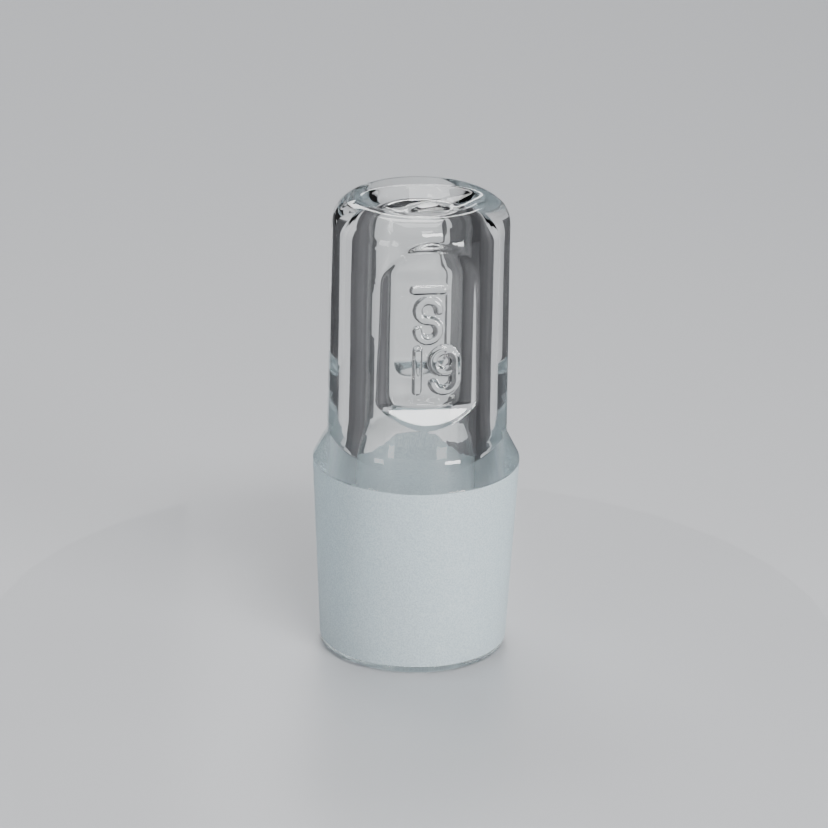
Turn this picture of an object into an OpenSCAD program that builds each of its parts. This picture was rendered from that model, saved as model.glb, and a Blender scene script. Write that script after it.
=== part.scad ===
// Ground-joint glass stopper: a round head with two pressed finger flats, over a ground
// plug that tapers down to an open foot. One hollow runs up through the plug and the head.
// Origin: centre of the foot, +Z up through the head, flats facing -Y and +Y. Millimetres.

/* [Ground plug] */
// Diameter at the wide end of the grind, which is the joint's size
plug_wide_dia = 19; // [17.4:0.2:24]
// Diameter lost per millimetre of height, going down (1 in 10 is the standard taper)
plug_taper = 0.1; // [0.05:0.01:0.14]
// Height of the wide end of the grind above the foot
plug_height = 18.28; // [15:0.2:20]
// Radius of the fire-polished edge round the outside of the foot
foot_round = 0.9; // [0.3:0.1:1.2]
// Radius of the small soft edge above the grind
wide_end_round = 0.35; // [0.1:0.05:0.8]

/* [Head] */
// Height of the whole stopper
total_height = 43.26; // [42:0.2:60]
// Diameter of the head just above the shoulder
head_low_dia = 16.48; // [14.6:0.2:17.6]
// How much narrower the head is at the top than above the shoulder
head_narrowing = 0.38; // [0:0.02:1]
// Height of the clear sloping shoulder
shoulder_height = 2.42; // [1.6:0.1:4]
// Radius of the hollow corner between the shoulder and the head
shoulder_fillet = 2; // [0.4:0.2:3]
// Radius of the rolled rim round the top
rim_radius = 2.46; // [1.8:0.1:3]
// Depth of the dish in the top below the rim
dish_depth = 1.6; // [0.6:0.1:1.8]
// Width of the oval dish from flat to flat; the other way it reaches the rim
dish_width = 7.8; // [6:0.1:11]
// How far the dish sits off the middle, towards the back
dish_shift = -0.4; // [-1:0.1:1]

/* [Finger flats] */
// Distance across the two flats
across_flats = 13.74; // [11.6:0.1:14.6]
// Height of the bottom edge of each flat
flat_low = 25.86; // [24:0.2:28]
// Height of the top edge of each flat
flat_high = 38.31; // [36.6:0.2:39]
// Height of the slope under a flat, per millimetre of depth
low_slope = 1.3; // [0.5:0.1:2]
// Height of the slope over a flat, per millimetre of depth
high_slope = 3; // [0.5:0.1:4]
// Radius of the hollow corners where a slope meets a flat
flat_fillet = 0.5; // [0.2:0.1:1]

/* [Hollow] */
// Diameter of the hollow in the plug, before the edge of its mouth is rounded
plug_hollow_dia = 11.6; // [10.6:0.2:12]
// Diameter of the hollow in the head
head_hollow_dia = 9.6; // [8.8:0.2:10.4]
// Height where the plug's hollow starts to narrow
narrowing_low = 16.6; // [13:0.2:17]
// Height where it has narrowed to the head's hollow
narrowing_high = 21.6; // [20:0.2:23]
// Distance across the hollow between its own two flat sides, behind the finger flats
hollow_flats = 7.8; // [7:0.1:9.4]
// Height of the slopes above and below those flat sides, per millimetre of depth
hollow_slope = 1.4; // [0.8:0.1:2]
// Thickness of the glass under the lowest point of the dish
roof_thickness = 1.16; // [0.8:0.02:3]
// How far the hollow's roof sags in the middle
roof_sag = 0.8; // [0.4:0.1:1.2]
// Radius of the corner between the roof and the hollow's wall
roof_corner = 1.2; // [0.6:0.1:1.6]
// Radius of the fire-polished edge round the hollow's mouth
mouth_round = 0.5; // [0.2:0.1:0.8]

/* [Raised marks] */
// How far the size number and the marks over it stand out of the front flat
mark_relief = 0.3; // [0.1:0.05:0.5]
// Width of the raised strokes
mark_stroke = 0.6; // [0.3:0.05:0.8]
// Height of the size number
number_height = 4.4; // [3.6:0.2:4.8]

/* [Hidden] */
$fn = 96;
overcut = 1;
margin = 0.2;
// every arc crosses its neighbours at this slight angle, not quite touching
meet = 3;
touch = cos(meet);
wide_r = plug_wide_dia / 2;
foot_r = wide_r - plug_height * plug_taper / 2;
head_low_z = plug_height + shoulder_height;
head_low_r = head_low_dia / 2;
head_high_r = head_low_r - head_narrowing / 2;
// rolled rim: a circle in the corner of the head's side and the top plane
rim_lean = atan((head_low_r - head_high_r) / (total_height - head_low_z));
rim_r = head_high_r - rim_radius * touch / tan((90 + rim_lean) / 2);
// dish: a ball, squeezed from flat to flat, that crosses the rim's circle just past its top
dish_overlap = 0.1;
dish_low_z = total_height - dish_depth;
dish_edge_r = rim_r + dish_overlap;
dish_radius = (dish_edge_r * dish_edge_r + dish_depth * dish_depth) / (2 * dish_depth);
dish_squeeze = dish_width / (2 * dish_edge_r);
// hollow: its roof is a corner at the wall and a sagging middle that cuts into the corner
plug_hollow_r = plug_hollow_dia / 2;
head_hollow_r = head_hollow_dia / 2;
roof_z = dish_low_z - roof_thickness + roof_sag;
sag_share = 0.75;
sag_r = head_hollow_r - roof_corner * sag_share;
sag_radius = (sag_r * sag_r + roof_sag * roof_sag) / (2 * roof_sag);
// finger flats
flat_y = across_flats / 2;
reach_y = wide_r + overcut;
// places of the raised marks on the front flat
one_x = -1;
nine_x = 1.4;
nine_r = 1.3;
number_z = flat_low + 1.1;
loop_x = -0.1;
loop_r = 1.25;
loop_low_z = number_z + number_height + 0.4 + loop_r;
loop_high_z = loop_low_z + 2 * loop_r - mark_stroke;
bar_width = 3.2;
bar_z = loop_high_z + loop_r + 0.4;

function way(from, to) = (to - from) / norm(to - from);

// What lies between a corner and the arc of radius r that rounds it, with a margin beyond
module corner(before, at, after, r) {
    u = way(at, before);
    v = way(at, after);
    half = acos(u * v) / 2;
    middle = way([0, 0], u + v);
    centre = at + middle * r * touch / sin(half);
    start = at + u * r * touch / tan(half);
    end = at + v * r * touch / tan(half);
    difference() {
        polygon([start, start + way(centre, start) * margin, at - middle * margin / sin(half),
                 end + way(centre, end) * margin, end]);
        translate(centre) circle(r);
    }
}

// Half section of the outside, from the axis out
module outside() {
    foot = [foot_r, 0];
    wide = [wide_r, plug_height];
    neck = [head_low_r, head_low_z];
    brow = [head_high_r, total_height];
    crown = [0, total_height];
    difference() {
        union() {
            polygon([[0, 0], foot, wide, neck, brow, crown]);
            corner(wide, neck, brow, shoulder_fillet);
        }
        corner([0, 0], foot, wide, foot_round);
        corner(foot, wide, neck, wide_end_round);
        corner(neck, brow, crown, rim_radius);
    }
}

// Half section of the hollow, with the rounded edge of its mouth
module hollow() {
    mouth = [plug_hollow_r, 0];
    low = [plug_hollow_r, narrowing_low];
    high = [head_hollow_r, narrowing_high];
    brow = [head_hollow_r, roof_z];
    crown = [0, roof_z];
    difference() {
        polygon([[0, -overcut], [plug_hollow_r, -overcut], low, high, brow, crown]);
        corner(high, brow, crown, roof_corner);
        translate([0, roof_z - roof_sag + sag_radius]) circle(sag_radius);
    }
    corner([foot_r, 0], mouth, low, mouth_round);
}

// The oval hollow in the top
module dish() {
    translate([0, dish_shift, dish_low_z + dish_radius])
        scale([1, dish_squeeze, 1]) sphere(dish_radius);
}

// What lies beyond a flat at distance y from the axis on the +Y side and the slopes at its ends
module flat_cut(y, slope_below, slope_above) {
    run = reach_y - y;
    low = [reach_y, flat_low - run * slope_below];
    low_corner = [y, flat_low];
    high_corner = [y, flat_high];
    high = [reach_y, flat_high + run * slope_above];
    rotate([90, 0, 90])
        linear_extrude(height = 2 * plug_wide_dia, center = true)
            difference() {
                polygon([low, high, high_corner, low_corner]);
                corner(high, high_corner, low_corner, flat_fillet);
                corner(high_corner, low_corner, low, flat_fillet);
            }
}

// Both flats, front and back
module flat_cuts(y, slope_below, slope_above) {
    flat_cut(y, slope_below, slope_above);
    mirror([0, 1, 0]) flat_cut(y, slope_below, slope_above);
}

// A raised stroke on the front flat, sunk a little into it
module stroke(x, z, width, height) {
    translate([x - width / 2, -flat_y - mark_relief, z])
        cube([width, mark_relief + overcut, height]);
}

// A raised ring on the front flat
module ring(x, z, r) {
    translate([x, -flat_y + overcut, z]) rotate([90, 0, 0]) difference() {
        cylinder(h = mark_relief + overcut, r = r);
        translate([0, 0, -overcut])
            cylinder(h = mark_relief + 3 * overcut, r = r - mark_stroke);
    }
}

// The size number, 19
module number() {
    tail_z = number_z + nine_r;
    bowl_z = number_z + number_height - nine_r;
    stroke(one_x, number_z, mark_stroke, number_height);
    ring(nine_x, bowl_z, nine_r);
    stroke(nine_x + nine_r - mark_stroke / 2, tail_z, mark_stroke, bowl_z - tail_z);
    difference() {
        ring(nine_x, tail_z, nine_r);
        translate([nine_x - 2 * nine_r, -2 * flat_y, tail_z])
            cube([4 * nine_r, 2 * flat_y, 2 * nine_r]);
    }
}

// A plain double loop with a plain bar over it
module loops() {
    stroke(loop_x, bar_z, bar_width, mark_stroke);
    difference() {
        ring(loop_x, loop_high_z, loop_r);
        translate([loop_x, -2 * flat_y, loop_high_z - 2 * loop_r])
            cube([2 * loop_r, 2 * flat_y, 2 * loop_r]);
    }
    difference() {
        ring(loop_x, loop_low_z, loop_r);
        translate([loop_x - 2 * loop_r, -2 * flat_y, loop_low_z])
            cube([2 * loop_r, 2 * flat_y, 2 * loop_r]);
    }
}

module stopper() {
    color([0.8, 0.88, 0.9, 0.5]) {
        difference() {
            rotate_extrude() outside();
            dish();
            flat_cuts(flat_y, low_slope, high_slope);
            difference() {
                rotate_extrude() hollow();
                flat_cuts(hollow_flats / 2, hollow_slope, hollow_slope);
            }
        }
        number();
        loops();
    }
}

stopper();
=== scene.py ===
"""Glass stopper: the looks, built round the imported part."""

import math

import bpy
import numpy as np
from bpy.props import FloatProperty, FloatVectorProperty, IntProperty, PointerProperty
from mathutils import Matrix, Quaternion, Vector


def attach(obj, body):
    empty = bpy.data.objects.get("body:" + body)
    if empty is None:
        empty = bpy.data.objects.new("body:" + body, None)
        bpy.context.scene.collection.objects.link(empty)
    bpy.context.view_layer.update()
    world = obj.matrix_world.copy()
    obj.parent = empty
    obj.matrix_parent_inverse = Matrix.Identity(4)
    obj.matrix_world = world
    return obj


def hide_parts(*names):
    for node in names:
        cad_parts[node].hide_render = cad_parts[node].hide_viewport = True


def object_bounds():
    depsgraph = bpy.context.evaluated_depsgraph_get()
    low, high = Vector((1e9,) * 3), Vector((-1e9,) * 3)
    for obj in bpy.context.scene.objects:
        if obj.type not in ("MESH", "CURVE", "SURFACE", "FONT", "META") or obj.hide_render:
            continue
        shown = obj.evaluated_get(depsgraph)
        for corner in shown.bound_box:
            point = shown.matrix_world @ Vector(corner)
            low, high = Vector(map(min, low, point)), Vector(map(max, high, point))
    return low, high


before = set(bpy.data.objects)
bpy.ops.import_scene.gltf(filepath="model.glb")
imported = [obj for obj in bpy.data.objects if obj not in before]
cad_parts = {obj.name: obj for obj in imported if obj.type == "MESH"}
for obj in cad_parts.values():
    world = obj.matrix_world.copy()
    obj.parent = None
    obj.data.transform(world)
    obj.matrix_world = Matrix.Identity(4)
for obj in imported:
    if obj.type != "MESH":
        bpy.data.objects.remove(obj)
CAD_BOX = [list(corner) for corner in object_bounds()]
LOW, HIGH = CAD_BOX
TOTAL_HEIGHT = HIGH[2] - LOW[2]

bl_info = {
    "name": "Ground glass stopper",
    "version": (1, 0, 0),
    "blender": (4, 5, 0),
    "location": "View3D > Sidebar > Stopper",
    "description": "A glass stopper with a ground taper, finger flats and a raised size number",
    "category": "Object",
}

MM = 0.001

# ---------------------------------------------------------------- what a user would change


class StopperSizes(bpy.types.PropertyGroup):
    """The stopper's own sizes."""

    height: FloatProperty(
        name="Height", description="From the foot to the top of the rim",
        default=TOTAL_HEIGHT, unit="LENGTH")
    wide_radius: FloatProperty(
        name="Grind radius", description="Radius at the wide end of the grind",
        default=9.5 * MM, unit="LENGTH")
    wide_height: FloatProperty(
        name="Grind height", description="Height of the wide end of the grind above the foot",
        default=18.28 * MM, unit="LENGTH")
    taper: FloatProperty(
        name="Taper", description="Radius lost for each unit of height, going down", default=0.05)
    neck_radius: FloatProperty(
        name="Head radius, low", description="Radius of the head just above the shoulder",
        default=8.24 * MM, unit="LENGTH")
    neck_height: FloatProperty(
        name="Shoulder height", description="Height at which the shoulder meets the head",
        default=20.7 * MM, unit="LENGTH")
    brow_radius: FloatProperty(
        name="Head radius, high", description="Radius of the head's side carried up to the top",
        default=8.05 * MM, unit="LENGTH")
    rim_round: FloatProperty(
        name="Rim radius", description="Radius of the rolled rim",
        default=2.46 * MM, unit="LENGTH")
    dish_depth: FloatProperty(
        name="Dish depth", description="Depth of the dish in the top",
        default=1.6 * MM, unit="LENGTH")
    dish_width: FloatProperty(
        name="Dish width", description="Width of the oval dish from flat to flat",
        default=7.8 * MM, unit="LENGTH")
    dish_shift: FloatProperty(
        name="Dish shift", description="How far the dish sits off the middle, towards the back",
        default=-0.4 * MM, unit="LENGTH")
    flat_distance: FloatProperty(
        name="Flat distance", description="From the axis to each finger flat",
        default=6.87 * MM, unit="LENGTH")
    flat_low: FloatProperty(
        name="Flat bottom", description="Height of the bottom edge of each flat",
        default=25.86 * MM, unit="LENGTH")
    flat_high: FloatProperty(
        name="Flat top", description="Height of the top edge of each flat",
        default=38.31 * MM, unit="LENGTH")
    plug_hollow_radius: FloatProperty(
        name="Plug hollow radius", description="Radius of the hollow in the plug",
        default=5.8 * MM, unit="LENGTH")
    head_hollow_radius: FloatProperty(
        name="Head hollow radius", description="Radius of the hollow in the head",
        default=4.8 * MM, unit="LENGTH")
    hollow_flat_distance: FloatProperty(
        name="Hollow flat distance", description="From the axis to each flat side of the hollow",
        default=3.9 * MM, unit="LENGTH")
    roof_height: FloatProperty(
        name="Roof height", description="Height of the hollow's roof at its wall",
        default=41.3 * MM, unit="LENGTH")
    roof_sag: FloatProperty(
        name="Roof sag", description="How far the roof hangs down in the middle",
        default=0.8 * MM, unit="LENGTH")
    mark_relief: FloatProperty(
        name="Mark relief", description="How far the raised marks stand out of the flat",
        default=0.3 * MM, unit="LENGTH")
    sides: IntProperty(
        name="Fineness", description="Steps round the stopper, in per cent of the usual",
        default=100, min=30, max=100, subtype="PERCENTAGE")


class GlassFinish(bpy.types.PropertyGroup):
    """Colours and finishes of the glass."""

    clear_tint: FloatVectorProperty(
        name="Clear tint", description="Colour of light that has passed through clear glass",
        default=(0.985, 0.995, 0.99), size=3, subtype="COLOR")
    ground_tint: FloatVectorProperty(
        name="Ground tint", description="Colour of the ground face",
        default=(0.81, 0.94, 0.98), size=3, subtype="COLOR")
    ground_low_tint: FloatVectorProperty(
        name="Ground low tint", description="Colour of the ground face in its smallest pits",
        default=(0.60, 0.73, 0.79), size=3, subtype="COLOR")
    ground_roughness: FloatProperty(
        name="Ground roughness", description="Roughness of the ground face",
        default=0.55, subtype="FACTOR")


class StudioSettings(bpy.types.PropertyGroup):
    """The floor, the light and the camera."""

    floor_colour: FloatVectorProperty(
        name="Floor", description="Colour of the floor", default=(0.46, 0.47, 0.49),
        size=3, subtype="COLOR")
    light_power: FloatProperty(
        name="Light", description="Power of all the lamps, as a multiple of the usual", default=1.0)
    camera_azimuth: FloatProperty(
        name="Azimuth", description="Where the camera stands round the stopper",
        default=math.radians(-7.7), subtype="ANGLE")
    camera_elevation: FloatProperty(
        name="Elevation", description="How far the camera looks down",
        default=math.radians(21.2), subtype="ANGLE")


# ---------------------------------------------------------------- shapes

# fineness: columns round the axis, rows across the top and the rim, row height along the flats
COLUMNS, TOP_STEPS, RIM_STEPS = 290, 34, 20
HEAD_STEP = 0.125 * MM
HEAD_FINE_LOW, HEAD_FINE_HIGH = 23.6 * MM, 40.2 * MM
# columns stand closer across the front flat and at the flats' edges: places and widths in
# radians from the flats' middle, and how much closer
FRONT_REACH, FRONT_FADE, FRONT_GAIN = 0.47, 0.03, 1.3
EDGE_PLACE, EDGE_SPREAD, EDGE_GAIN = 0.58, 0.1, 0.9
# roundings of the half section
FOOT_ROUND, WIDE_ROUND, SHOULDER_FILLET = 0.9 * MM, 0.35 * MM, 2.0 * MM
MOUTH_ROUND, ROOF_CORNER = 0.5 * MM, 1.2 * MM
# shares of the roof's corner, from the wall: where the sag would start, and where it does
SAG_SHARE, ROOF_SHARE = 0.75, 0.8
# heights between which the hollow narrows
NARROWING_LOW, NARROWING_HIGH = 15.6 * MM, 22.6 * MM
# height gained for each unit that a flat's lower, upper and inner slopes run outwards
LOW_SLOPE, HIGH_SLOPE, HOLLOW_SLOPE = 1.3, 3.0, 1.4
# widths over which the flats' edges are eased: at the head, at the slopes and in the hollow
HEAD_EASE, SLOPE_EASE, HOLLOW_EASE = 0.16 * MM, 0.3 * MM, 0.8 * MM
# half widths of the raised strokes, and how much wider their ridges are at the flat
NUMBER_HALF, LOOP_HALF, RIDGE_FOOT = 0.36 * MM, 0.34 * MM, 1.25
DISH_OVERLAP, DISH_EASE = 0.1 * MM, 0.12 * MM
# the ring pressed into the dish
RING_PLACE = (0.73 * MM, -0.8 * MM)
RING_RADIUS, RING_WIDTH, RING_HEIGHT = 2.2 * MM, 0.3 * MM, 0.09 * MM
# small faults of pressed glass: swells, upright streaks and nicks on the rim
SWELL, STREAK, NICK = 0.006 * MM, 0.0012 * MM, 0.05 * MM
# how far the nicks stand from the seam, and their narrow and wide parts, in radians
NICK_PLACE, NICK_NARROW, NICK_WIDE = 0.04, 0.05, 0.16
# the hollow's wall is this many times as uneven as the outside
HOLLOW_UNEVENNESS = 2
# sines of the angle: marks stand only below the first, and the second is the least divisor
FRONT_SINE, LEAST_SINE = -0.8, 1e-3


def line(start, end, steps):
    """Points evenly along a straight line, without its last one."""
    share = np.linspace(0.0, 1.0, steps, endpoint=False)[:, None]
    return np.asarray(start) * (1 - share) + np.asarray(end) * share


def arc(centre, radius, start, end, steps):
    """Points at even angles round a circle: centre plus radius times (cosine, sine)."""
    angle = np.linspace(start, end, steps, endpoint=False)
    return np.stack([centre[0] + radius * np.cos(angle), centre[1] + radius * np.sin(angle)], 1)


def rounded(before, at, after, radius):
    """Where an arc that rounds a corner starts and ends, and its centre and two angles.

    The arc touches both sides, so it starts radius / tan(half the corner's angle) from the corner.
    """
    before, at, after = (np.asarray(p, float) for p in (before, at, after))
    u, v = before - at, after - at
    u, v = u / np.linalg.norm(u), v / np.linalg.norm(v)
    half = math.acos(float(u @ v)) / 2
    start, end = at + u * radius / math.tan(half), at + v * radius / math.tan(half)
    middle = (u + v) / np.linalg.norm(u + v)
    centre = at + middle * radius / math.sin(half)
    a0 = math.atan2(*(start - centre)[::-1])
    a1 = math.atan2(*(end - centre)[::-1])
    a1 = a0 + (a1 - a0 + math.pi) % (2 * math.pi) - math.pi
    return start, end, centre, a0, a1


def profile(s):
    """Half section of the whole glass, as one path of (radius, height) from the axis to the axis.

    It runs up-side down through the hollow, round its mouth, across the foot, up the grind,
    the shoulder and the head, over the rim and down into the dish. Also gives the first and
    last row of the grind and the first row of the outside.
    """
    foot = (s.wide_radius - s.wide_height * s.taper, 0.0)
    wide = (s.wide_radius, s.wide_height)
    neck = (s.neck_radius, s.neck_height)
    brow = (s.brow_radius, s.height)
    crown = (0.0, s.height)
    mouth = (s.plug_hollow_radius, 0.0)
    low = (s.plug_hollow_radius, NARROWING_LOW)
    corner = (s.head_hollow_radius - ROOF_CORNER, s.roof_height - ROOF_CORNER)
    sag_edge = s.head_hollow_radius - SAG_SHARE * ROOF_CORNER
    sag_radius = (sag_edge ** 2 + s.roof_sag ** 2) / (2 * s.roof_sag)
    sag_centre = (0.0, s.roof_height - s.roof_sag + sag_radius)
    roof_edge = s.head_hollow_radius - ROOF_SHARE * ROOF_CORNER
    sag_turn = math.asin(roof_edge / sag_radius)
    corner_turn = math.acos((roof_edge - corner[0]) / ROOF_CORNER)
    share = np.linspace(0.0, 1.0, 16, endpoint=False)
    ease = share * share * (3 - 2 * share)
    narrowing = np.stack([s.head_hollow_radius * (1 - ease) + s.plug_hollow_radius * ease,
                          NARROWING_HIGH * (1 - share) + NARROWING_LOW * share], 1)
    mouth_arc = rounded(low, mouth, foot, MOUTH_ROUND)
    foot_arc = rounded(mouth, foot, wide, FOOT_ROUND)
    wide_arc = rounded(foot, wide, neck, WIDE_ROUND)
    neck_arc = rounded(wide, neck, brow, SHOULDER_FILLET)
    rim_arc = rounded(neck, brow, crown, s.rim_round)
    rim = rim_arc[2]
    head_start = neck_arc[1]
    head_end = rim_arc[0]

    def on_head(z):
        share = (z - head_start[1]) / (head_end[1] - head_start[1])
        return head_start * (1 - share) + head_end * share

    fine_low, fine_high = on_head(HEAD_FINE_LOW), on_head(HEAD_FINE_HIGH)
    fine_steps = round((HEAD_FINE_HIGH - HEAD_FINE_LOW) / HEAD_STEP)
    parts = [
        arc(sag_centre, sag_radius, -math.pi / 2, -math.pi / 2 + sag_turn, 12),
        arc(corner, ROOF_CORNER, corner_turn, 0, 9),
        line((s.head_hollow_radius, corner[1]), narrowing[0], 48),
        narrowing,
        line(low, mouth_arc[0], 8),
        arc(mouth_arc[2], MOUTH_ROUND, mouth_arc[3], mouth_arc[4], 6),
        line(mouth_arc[1], foot_arc[0], 3),
        arc(foot_arc[2], FOOT_ROUND, foot_arc[3], foot_arc[4], 8),
        line(foot_arc[1], wide_arc[0], 16),
        arc(wide_arc[2], WIDE_ROUND, wide_arc[3], wide_arc[4], 4),
        line(wide_arc[1], neck_arc[0], 4),
        arc(neck_arc[2], SHOULDER_FILLET, neck_arc[3], neck_arc[4], 7),
        line(head_start, fine_low, 6),
        line(fine_low, fine_high, fine_steps),
        line(fine_high, head_end, 4),
        arc(rim, s.rim_round, rim_arc[3], math.pi / 2, RIM_STEPS),
        line((rim[0], s.height), (0.0, s.height), TOP_STEPS),
        np.array([[0.0, s.height]]),
    ]
    counts = np.cumsum([len(p) for p in parts])
    return np.concatenate(parts), {"grind": (counts[7], counts[8]), "outside": counts[8],
                                   "rim": counts[14]}


def turns(s):
    """Angles round the axis, closer together across the front flat and at the flats' edges.

    The spacing is a sum of smooth humps, and the angles are its inverse running total.
    """
    count = int(COLUMNS * s.sides / 100)
    grid = np.linspace(-math.pi, math.pi, 7200, endpoint=False)
    across = np.abs(grid)
    back = math.pi - across
    density = (1.0 + FRONT_GAIN / (1 + np.exp((across - FRONT_REACH) / FRONT_FADE))
               + EDGE_GAIN * np.exp(-((across - EDGE_PLACE) / EDGE_SPREAD) ** 2)
               + EDGE_GAIN * np.exp(-((back - EDGE_PLACE) / EDGE_SPREAD) ** 2))
    total = np.cumsum(density)
    total = (total - total[0]) / (total[-1] - total[0] + density[-1])
    angle = np.interp(np.arange(count) / count, total, grid)
    return angle - math.pi / 2


def smooth_min(a, b, width):
    """The lesser of two values, with the corner between them eased over the given width."""
    mix = np.clip(0.5 + 0.5 * (b - a) / width, 0, 1)
    return b * (1 - mix) + a * mix - width * mix * (1 - mix)


def smooth_max(a, b, width):
    """The greater of two values, eased in the same way."""
    return -smooth_min(-a, -b, width)


def to_segment(x, z, start, end):
    """Distance from each point to a straight stroke between two points."""
    along = np.subtract(end, start)
    share = ((x - start[0]) * along[0] + (z - start[1]) * along[1]) / (along @ along)
    share = np.clip(share, 0, 1)
    return np.hypot(x - start[0] - share * along[0], z - start[1] - share * along[1])


def to_arc(x, z, centre, radius, start, sweep):
    """Distance to an arc that runs anticlockwise from the angle start through the angle sweep.

    Inside the sweep it is the difference from the radius, elsewhere the way to the nearer end.
    """
    dx, dz = x - centre[0], z - centre[1]
    turn = np.mod(np.arctan2(dz, dx) - start, 2 * math.pi)
    ends = [np.hypot(dx - radius * math.cos(a), dz - radius * math.sin(a))
            for a in (start, start + sweep)]
    return np.where(turn <= sweep, np.abs(np.hypot(dx, dz) - radius), np.minimum(*ends))


def marks(x, z, s):
    """Height of the raised marks at each place on the front flat.

    A size number, 19, stands below a plain double loop and a bar. Each stroke is a round
    ridge: its height is the relief times the square root of 1 - (distance / half width)^2.
    """
    mm, low, deg = MM, s.flat_low, math.radians
    one_x, nine_x, nine_radius = -1.0 * mm, 1.4 * mm, 1.0 * mm
    tail_z, bowl_z = low + 2.4 * mm, low + 4.2 * mm
    side_x = nine_x + nine_radius
    loop_x, loop_radius, loop_low, loop_high = -0.1 * mm, 0.95 * mm, low + 7.15 * mm, low + 9.05 * mm
    bar_left, bar_right, bar_z = -1.4 * mm, 1.2 * mm, low + 11.0 * mm
    strokes = [
        (to_segment(x, z, (one_x, low + 1.4 * mm), (one_x, low + 5.2 * mm)), LOOP_HALF),
        (to_arc(x, z, (nine_x, bowl_z), nine_radius, 0, deg(360)), NUMBER_HALF),
        (to_arc(x, z, (nine_x, tail_z), nine_radius, deg(200), deg(160)), NUMBER_HALF),
        (to_segment(x, z, (side_x, tail_z), (side_x, bowl_z)), NUMBER_HALF),
        (to_arc(x, z, (loop_x, loop_high), loop_radius, 0, deg(270)), LOOP_HALF),
        (to_arc(x, z, (loop_x, loop_low), loop_radius, deg(180), deg(270)), LOOP_HALF),
        (to_segment(x, z, (bar_left, bar_z), (bar_right, bar_z)), LOOP_HALF),
    ]
    height = np.zeros_like(x)
    for distance, half in strokes:
        ease = np.clip(1 - (distance / (RIDGE_FOOT * half)) ** 2, 0, 1)
        height = np.maximum(height, np.sqrt(ease))
    return height * s.mark_relief


def flat_way(z, distance, s, slope_below, slope_above):
    """Distance from the axis to a flat's plane, growing below and above it by the slopes."""
    away = smooth_max(distance + (s.flat_low - z) / slope_below,
                      distance + (z - s.flat_high) / slope_above, SLOPE_EASE)
    return smooth_max(away, distance + 0 * z, SLOPE_EASE)


def unevenness(angle, z):
    """The unevenness of fire-polished glass, as a change of radius.

    Slow swells, sines of the angle and the height, carry fine upright streaks, sines of many
    times the angle.
    """
    swell = (np.sin(3 * angle + 320 * z) + 0.7 * np.sin(5 * angle + 220 * z - 1.3)
             + 0.6 * np.sin(2 * angle + 610 * z + 0.8))
    streak = (np.sin(23 * angle + 0.4) + 0.8 * np.sin(37 * angle + 1.9)
              + 0.6 * np.sin(61 * angle - 0.7))
    return swell * SWELL + streak * STREAK


def dish(x, y, s):
    """How far the top sinks: depth times 1 - q, where q is the square of the oval's radius.

    The oval reaches the rim's top on +X and -X and the dish's width from flat to flat, and its
    edge is eased.
    """
    reach = s.brow_radius - s.rim_round + DISH_OVERLAP
    q = (x / reach) ** 2 + (2 * (y - s.dish_shift) / s.dish_width) ** 2
    return smooth_max(s.dish_depth * (1 - q), 0 * q, DISH_EASE)


def dish_ring(x, y):
    """A ring pressed into the dish, off its middle: a Gauss ridge over a shallow round dimple."""
    away = np.hypot(x - RING_PLACE[0], y - RING_PLACE[1])
    ridge = np.exp(-((away - RING_RADIUS) / RING_WIDTH) ** 2)
    dimple = np.clip(1 - (away / RING_RADIUS) ** 2, 0, 1)
    return ridge * RING_HEIGHT - dimple * RING_HEIGHT


def seam_nicks(angle, share):
    """Lift of the rim where the mould's two halves met: narrow uneven humps on +X and -X."""
    lift = 0
    for place in (0, math.pi):
        turn = np.abs(np.mod(angle - place + math.pi, 2 * math.pi) - math.pi)
        lift = lift + np.exp(-((turn - NICK_PLACE) / NICK_NARROW) ** 2)
        lift = lift + 0.6 * np.exp(-(turn / NICK_WIDE) ** 2)
    return lift * NICK * np.sin(math.pi * np.clip(share, 0, 1))


def stopper_surface(s):
    """Rows of points, one row for each point of the half section and one column for each turn.

    Above the shoulder the radius is the lesser of the round head's radius and the distance to
    the flat's plane, divided by the sine of the angle, so the plane cuts the head. The plane's
    distance grows below and above the flat, which makes the two slopes. The hollow gets its own
    flat sides in the same way.
    """
    path, rows = profile(s)
    angle = turns(s)[None, :]
    radius = path[:, :1] + 0 * angle
    z = path[:, 1:] + 0 * angle
    row = np.arange(len(path))[:, None]
    outside = row >= rows["outside"]
    in_head = outside & (z > s.neck_height) & (row < rows["rim"] + RIM_STEPS)
    in_hollow = ~outside & (z > NARROWING_LOW)
    sine = np.maximum(np.abs(np.sin(angle)), LEAST_SINE)
    clear = np.where(in_head | in_hollow, np.clip(radius / s.plug_hollow_radius, 0, 1), 0)
    radius = radius + unevenness(angle, z) * clear * np.where(outside, 1, HOLLOW_UNEVENNESS)
    away = flat_way(z, s.flat_distance, s, LOW_SLOPE, HIGH_SLOPE)
    radius = np.where(in_head, smooth_min(radius, away / sine, HEAD_EASE), radius)
    away = flat_way(z, s.hollow_flat_distance, s, HOLLOW_SLOPE, HOLLOW_SLOPE)
    ease = np.clip(radius, 1e-9, HOLLOW_EASE)
    radius = np.where(in_hollow, smooth_min(radius, away / sine, ease), radius)
    x, y = radius * np.cos(angle), radius * np.sin(angle)
    on_front = in_head & (np.sin(angle) < FRONT_SINE)
    y = y - np.where(on_front, marks(x, z, s), 0)
    rim_share = (row - rows["rim"]) / RIM_STEPS
    z = z + np.where(in_head & (rim_share > 0), seam_nicks(angle, rim_share), 0)
    z = z + np.where(row >= rows["rim"] + RIM_STEPS, dish_ring(x, y) - dish(x, y, s), 0)
    return x, y, z, rows


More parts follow.
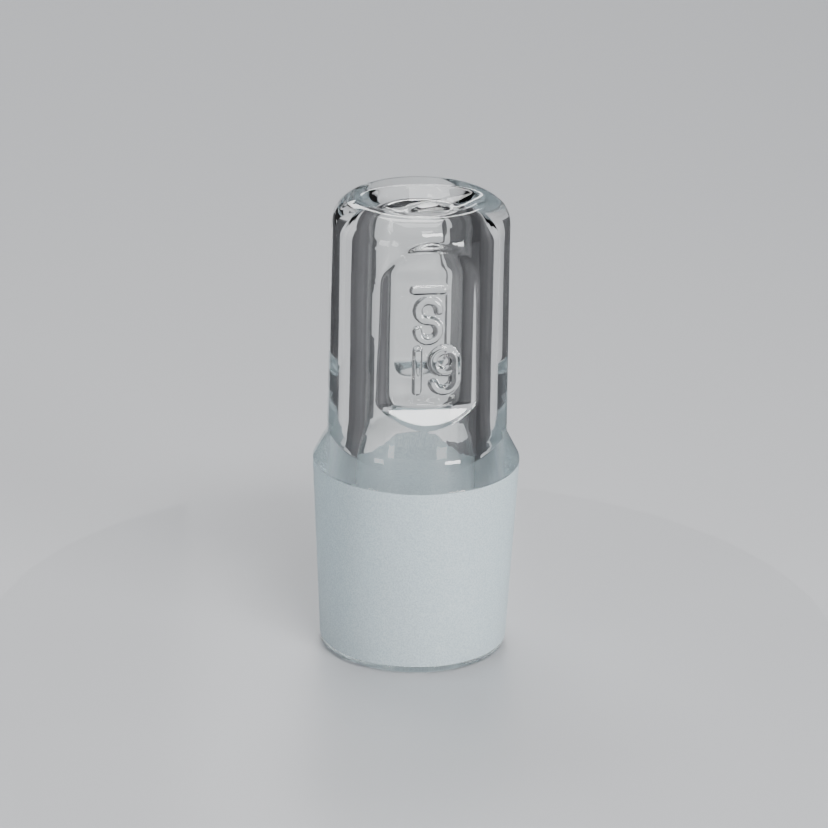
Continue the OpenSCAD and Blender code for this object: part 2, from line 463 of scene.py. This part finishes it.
def glass_mesh(name, x, y, z, rows):
    """A closed mesh from rows of points whose first and last rows lie on the axis.

    The two end rows become one point each, ringed by triangles; all between is four-sided.
    """
    count, around = x.shape
    inner = np.stack([x, y, z], -1)[1:-1].reshape(-1, 3)
    points = np.concatenate([[[0, 0, z[0, 0]]], inner, [[0, 0, z[-1, 0]]]])
    column = np.arange(around)
    following = np.roll(column, -1)
    row = np.arange(count - 3)[:, None] * around + 1
    quads = np.stack([row + column, row + following, row + around + following,
                      row + around + column], -1).reshape(-1, 4)
    last = 1 + (count - 3) * around
    fan_low = np.stack([np.zeros(around, int), 1 + following, 1 + column], -1)
    fan_high = np.stack([last + column, last + following, np.full(around, len(points) - 1)], -1)
    mesh = bpy.data.meshes.new(name)
    mesh.from_pydata(points.tolist(), [], fan_low.tolist() + quads.tolist() + fan_high.tolist())
    mesh.validate()
    mesh.polygons.foreach_set("use_smooth", np.ones(len(mesh.polygons), bool))
    slots = np.zeros(len(mesh.polygons), np.int32)
    start, end = (max(r - 1, 0) * around + around for r in rows["grind"])
    slots[start:end] = 1
    mesh.polygons.foreach_set("material_index", slots)
    mesh.update()
    return mesh


# ---------------------------------------------------------------- materials

GLASS_IOR = 1.474
# swell and grain sizes in metres and the grain's share, then the bump's strength and distance
CLEAR_RIPPLE, CLEAR_BUMP = (0.005, 0.0012, 0.15), (0.12, 0.00008)
GROUND_RIPPLE, GROUND_BUMP = (0.003, 0.00013, 0.8), (1.0, 0.00005)
GROUND_TRANSMISSION = 0.5
# values of the grain between which the ground face's colour runs
SPECKLE_LOW, SPECKLE_HIGH = 0.38, 0.62


def ripple_group():
    """Slow swell and fine grain as a height, on Object coordinates given in metres."""
    group = bpy.data.node_groups.new("surface_ripple", "ShaderNodeTree")
    face = group.interface
    for name, default in (("Swell size", 0.004), ("Grain size", 0.0001), ("Grain share", 0.5)):
        face.new_socket(name, in_out="INPUT", socket_type="NodeSocketFloat").default_value = default
    face.new_socket("Height", in_out="OUTPUT", socket_type="NodeSocketFloat")
    face.new_socket("Speckle", in_out="OUTPUT", socket_type="NodeSocketFloat")
    nodes, links = group.nodes, group.links
    inputs, output = nodes.new("NodeGroupInput"), nodes.new("NodeGroupOutput")
    place = nodes.new("ShaderNodeTexCoord")
    heights = []
    for size in ("Swell size", "Grain size"):
        scale = nodes.new("ShaderNodeMath")
        scale.operation = "DIVIDE"
        scale.inputs[0].default_value = 1.0
        links.new(inputs.outputs[size], scale.inputs[1])
        noise = nodes.new("ShaderNodeTexNoise")
        noise.inputs["Detail"].default_value = 2.0
        links.new(place.outputs["Object"], noise.inputs["Vector"])
        links.new(scale.outputs[0], noise.inputs["Scale"])
        heights.append(noise.outputs["Fac"])
    mix = nodes.new("ShaderNodeMix")
    links.new(inputs.outputs["Grain share"], mix.inputs["Factor"])
    links.new(heights[0], mix.inputs[2])
    links.new(heights[1], mix.inputs[3])
    links.new(mix.outputs[0], output.inputs["Height"])
    links.new(heights[1], output.inputs["Speckle"])
    return group


def glass_material(name, group, tint, roughness, transmission, ripple_sizes, bump):
    """Glass whose surface is disturbed by the ripple group through a bump."""
    material = bpy.data.materials.new(name)
    material.use_nodes = True
    nodes, links = material.node_tree.nodes, material.node_tree.links
    shader = nodes["Principled BSDF"]
    shader.inputs["Base Color"].default_value = (*tint, 1)
    shader.inputs["Roughness"].default_value = roughness
    shader.inputs["IOR"].default_value = GLASS_IOR
    shader.inputs["Transmission Weight"].default_value = transmission
    ripple = nodes.new("ShaderNodeGroup")
    ripple.node_tree = group
    for key, value in zip(("Swell size", "Grain size", "Grain share"), ripple_sizes):
        ripple.inputs[key].default_value = value
    relief = nodes.new("ShaderNodeBump")
    relief.inputs["Strength"].default_value, relief.inputs["Distance"].default_value = bump
    links.new(ripple.outputs["Height"], relief.inputs["Height"])
    links.new(relief.outputs["Normal"], shader.inputs["Normal"])
    return material


def add_speckle(material, low_tint, tint):
    """Lets the grain run the colour from the low tint to the full one."""
    nodes, links = material.node_tree.nodes, material.node_tree.links
    ripple = next(node for node in nodes if node.type == "GROUP")
    spread = nodes.new("ShaderNodeMapRange")
    spread.inputs["From Min"].default_value = SPECKLE_LOW
    spread.inputs["From Max"].default_value = SPECKLE_HIGH
    mix = nodes.new("ShaderNodeMix")
    mix.data_type = "RGBA"
    mix.inputs["A"].default_value, mix.inputs["B"].default_value = (*low_tint, 1), (*tint, 1)
    links.new(ripple.outputs["Speckle"], spread.inputs["Value"])
    links.new(spread.outputs["Result"], mix.inputs["Factor"])
    links.new(mix.outputs["Result"], nodes["Principled BSDF"].inputs["Base Color"])


def plain_material(name, colour, roughness):
    """A plain even surface, for the floor and for the near-black cards that paint shade into the
    glass.
    """
    material = bpy.data.materials.new(name)
    material.use_nodes = True
    shader = material.node_tree.nodes["Principled BSDF"]
    shader.inputs["Base Color"].default_value = (*colour, 1)
    shader.inputs["Roughness"].default_value = roughness
    return material


# ---------------------------------------------------------------- studio

# the dark cards are painted shade: near-black sheets seen only through the glass, which darken the
# bands at its sides
CARD_DISTANCE, CARD_LIFT, CARD_STEPS = 40 * MM, 0.5 * MM, 8
SHADE_CARD_COLOUR = (0.07, 0.07, 0.075)
# name, bearing from straight behind and width in degrees, height
CARDS = (("shade_card_left", -72, 90, 120 * MM), ("shade_card_right", 68, 90, 120 * MM))
MIDDLE = (0, 0, 0.022)
# name, place, size, power, what it faces
LAMPS = (
    ("front_high", (0.05, -0.22, 0.32), (0.13, 0.07), 1.2, MIDDLE),
    ("key", (0.22, -0.28, 0.06), (0.12, 0.10), 1.6, MIDDLE),
    ("fill", (-0.30, -0.22, 0.07), (0.08, 0.14), 0.3, MIDDLE),
    ("strip_left", (-0.30, 0.06, 0.06), (0.01, 0.14), 0.12, MIDDLE),
    ("strip_right", (0.30, 0.05, 0.06), (0.01, 0.14), 0.12, MIDDLE),
    ("back_high", (-0.03, 0.24, 0.42), (0.28, 0.12), 1.0, MIDDLE),
    ("sky", (0.0, 0.10, 0.70), (0.3, 0.24), 1.2, MIDDLE),
    ("far_floor", (0.0, 0.65, 0.40), (0.5, 0.3), 5.0, (0, 0.75, 0)),
)
WORLD_COLOUR = (0.04, 0.04, 0.044)
FLOOR_HALF, FLOOR_ROUGHNESS, CARD_ROUGHNESS = 1.2, 0.35, 0.9
CAMERA_DISTANCE, CAMERA_ROLL = 0.4272, math.radians(1.18)
SENSOR_WIDTH, LENS, CAMERA_SHIFT = 36.0, 202.9, (-0.0035, 0.0042)


def shade_card(name, bearing, spread, top):
    """An upright curved card beside the glass, standing on the floor round the axis.

    It is painted shade: a near-black sheet that only shows through the glass and in it, where it
    darkens the bands at the glass's sides. The camera, the floor and the lamps miss it.
    """
    steps = np.radians(np.linspace(bearing - spread / 2, bearing + spread / 2, CARD_STEPS + 1))
    foot = np.stack([np.sin(steps), np.cos(steps)], 1) * CARD_DISTANCE
    points = [(*place, height) for height in (CARD_LIFT, top) for place in foot.tolist()]
    faces = [(k, k + 1, k + CARD_STEPS + 2, k + CARD_STEPS + 1) for k in range(CARD_STEPS)]
    mesh = bpy.data.meshes.new(name)
    mesh.from_pydata(points, [], faces)
    # the card's near-black colour is painted shade, seen only in the glass
    mesh.materials.append(plain_material(name, SHADE_CARD_COLOUR, CARD_ROUGHNESS))
    card = bpy.data.objects.new(name, mesh)
    card.visible_camera = card.visible_shadow = card.visible_diffuse = False
    bpy.context.scene.collection.objects.link(card)


# ---------------------------------------------------------------- operators


class STOPPER_OT_glass(bpy.types.Operator):
    """Makes the stopper's glass as one closed surface, clear with a ground plug"""

    bl_idname = "stopper.glass"
    bl_label = "Glass"

    def execute(self, context):
        sizes, finish = context.scene.stopper_sizes, context.scene.stopper_finish
        mesh = glass_mesh("stopper_glass", *stopper_surface(sizes))
        piece = bpy.data.objects.new("stopper_glass", mesh)
        context.scene.collection.objects.link(piece)
        group = ripple_group()
        clear = glass_material("clear_pressed_glass", group, finish.clear_tint, 0.0, 1.0,
                               CLEAR_RIPPLE, CLEAR_BUMP)
        ground = glass_material("ground_glass", group, finish.ground_tint,
                                finish.ground_roughness, GROUND_TRANSMISSION,
                                GROUND_RIPPLE, GROUND_BUMP)
        add_speckle(ground, finish.ground_low_tint, finish.ground_tint)
        mesh.materials.append(clear)
        mesh.materials.append(ground)
        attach(piece, "root")
        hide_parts("stopper")
        return {"FINISHED"}


class STOPPER_OT_stage(bpy.types.Operator):
    """Makes the pale floor, the dark cards that paint shade into the glass, the soft studio lights
    and the camera
    """

    bl_idname = "stopper.stage"
    bl_label = "Stage"

    def execute(self, context):
        scene, studio = context.scene, context.scene.stopper_studio
        floor_mesh = bpy.data.meshes.new("floor")
        corners = [(x * FLOOR_HALF, y * FLOOR_HALF, 0)
                   for x, y in ((-1, -1), (1, -1), (1, 1), (-1, 1))]
        floor_mesh.from_pydata(corners, [], [(0, 1, 2, 3)])
        floor = bpy.data.objects.new("floor", floor_mesh)
        floor_mesh.materials.append(plain_material("pale_floor", studio.floor_colour,
                                                  FLOOR_ROUGHNESS))
        scene.collection.objects.link(floor)
        target = Vector(MIDDLE)
        # dark cards that paint shade into the glass's sides, seen only through it
        for card in CARDS:
            shade_card(*card)
        for name, place, size, power, aim in LAMPS:
            lamp = bpy.data.lights.new(name, "AREA")
            lamp.shape = "RECTANGLE"
            lamp.size, lamp.size_y = size
            lamp.energy = power * studio.light_power
            item = bpy.data.objects.new(name, lamp)
            item.location = place
            item.visible_camera = False
            item.rotation_mode = "QUATERNION"
            item.rotation_quaternion = (Vector(aim) - Vector(place)).to_track_quat("-Z", "Y")
            scene.collection.objects.link(item)
        world = bpy.data.worlds.new("studio")
        world.use_nodes = True
        world.node_tree.nodes["Background"].inputs["Color"].default_value = (*WORLD_COLOUR, 1)
        scene.world = world
        camera = bpy.data.cameras.new("camera")
        holder = bpy.data.objects.new("camera", camera)
        scene.collection.objects.link(holder)
        turn, rise = studio.camera_azimuth, studio.camera_elevation
        back = Vector((math.sin(turn) * math.cos(rise), -math.cos(turn) * math.cos(rise),
                       math.sin(rise)))
        holder.location = target + back * CAMERA_DISTANCE
        holder.rotation_mode = "QUATERNION"
        level = (-back).to_track_quat("-Z", "Y")
        holder.rotation_quaternion = level @ Quaternion((0, 0, 1), CAMERA_ROLL)
        camera.sensor_width, camera.lens = SENSOR_WIDTH, LENS
        camera.shift_x, camera.shift_y = CAMERA_SHIFT
        camera.clip_start = 0.01
        scene.camera = holder
        return {"FINISHED"}


class STOPPER_PT_panel(bpy.types.Panel):
    """The stopper's steps and settings"""

    bl_label = "Glass stopper"
    bl_space_type = "VIEW_3D"
    bl_region_type = "UI"
    bl_category = "Stopper"

    def draw(self, context):
        layout = self.layout
        for operator in (STOPPER_OT_glass, STOPPER_OT_stage):
            layout.operator(operator.bl_idname)
        for group in (context.scene.stopper_sizes, context.scene.stopper_finish,
                      context.scene.stopper_studio):
            column = layout.column()
            for name in group.__annotations__:
                column.prop(group, name)


GROUPS = {"stopper_sizes": StopperSizes, "stopper_finish": GlassFinish,
          "stopper_studio": StudioSettings}
CLASSES = (*GROUPS.values(), STOPPER_OT_glass, STOPPER_OT_stage, STOPPER_PT_panel)


def register():
    for item in CLASSES:
        bpy.utils.register_class(item)
    for name, group in GROUPS.items():
        setattr(bpy.types.Scene, name, PointerProperty(type=group))


def unregister():
    for name in GROUPS:
        delattr(bpy.types.Scene, name)
    for item in reversed(CLASSES):
        bpy.utils.unregister_class(item)


def main():
    """Builds everything in order."""
    register()
    bpy.ops.stopper.glass()
    bpy.ops.stopper.stage()


if __name__ == "__main__":
    main()
